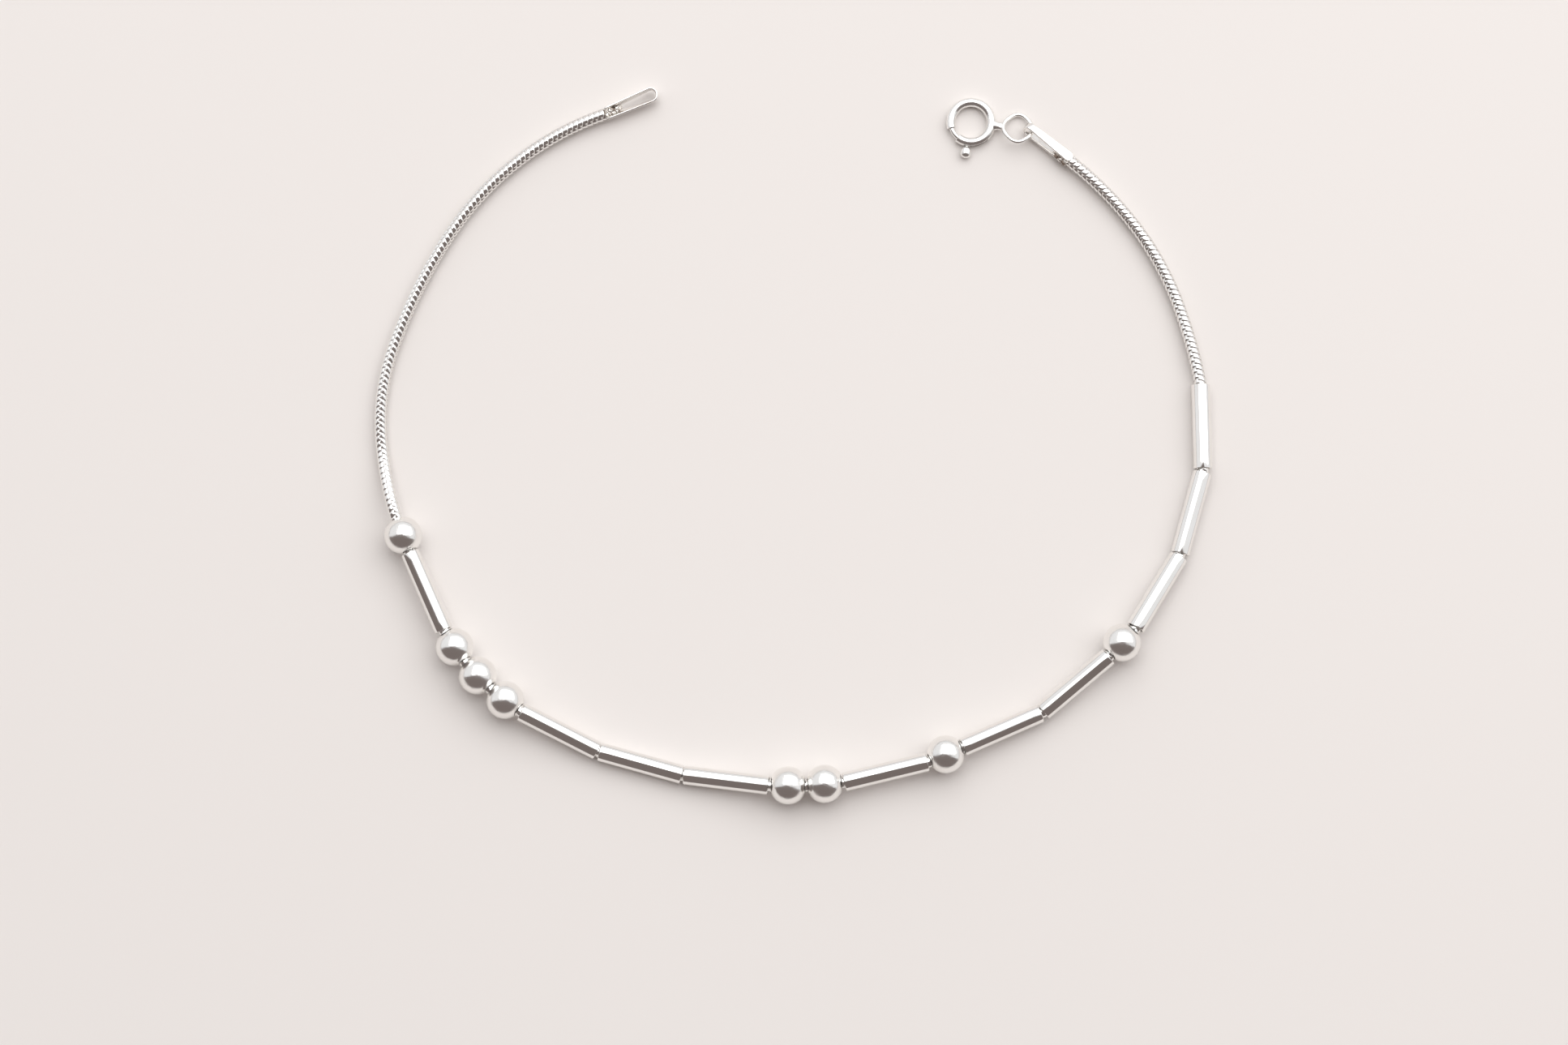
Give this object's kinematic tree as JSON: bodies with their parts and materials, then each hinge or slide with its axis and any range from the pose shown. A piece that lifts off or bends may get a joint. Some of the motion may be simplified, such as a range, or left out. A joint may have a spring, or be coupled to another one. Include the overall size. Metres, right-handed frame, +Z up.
{
  "type": "beaded snake-chain bracelet",
  "caption": "Open silver bracelet of round and tube beads spaced as a Morse message on a snake chain, with a folded loop tag at one end and a spring-ring clasp at the other.",
  "frame": {"origin": "under the middle of the bracelet's bounding box, on the surface it lies on", "axes": "+Z up from the surface, +X across the loop from the plain chain's side to the clasp's side, +Y towards the open ends"},
  "size_m": [0.0668, 0.0572, 0.0029],
  "materials": {
    "chain_silver": "polished silver plates, darker in the grooves",
    "bead_silver": "mirror-polished silver",
    "tube_silver": "polished silver with faint drawn lines along the tube",
    "clasp_silver": "polished silver"
  },
  "bodies": {
    "bracelet": {"chain": "chain_silver", "bead_1": "bead_silver", "bead_2": "bead_silver", "bead_3": "bead_silver", "bead_4": "bead_silver", "bead_5": "bead_silver", "bead_6": "bead_silver", "bead_7": "bead_silver", "bead_8": "bead_silver", "tube_1": "tube_silver", "tube_2": "tube_silver", "tube_3": "tube_silver", "tube_4": "tube_silver", "tube_5": "tube_silver", "tube_6": "tube_silver", "tube_7": "tube_silver", "tube_8": "tube_silver", "tube_9": "tube_silver", "tube_10": "tube_silver", "clasp_ring": "clasp_silver"},
    "clasp_bolt": {"clasp_bolt": "clasp_silver"}
  },
  "joints": [
    {"name": "bolt_opens", "type": "hinge", "parent": "bracelet", "child": "clasp_bolt", "pos_m": [0.01431, 0.02605, 0.00037], "axis": [0, 0, 1], "range_deg": [0, 48], "stiffness_Nm_per_rad": 0.0002}
  ]
}
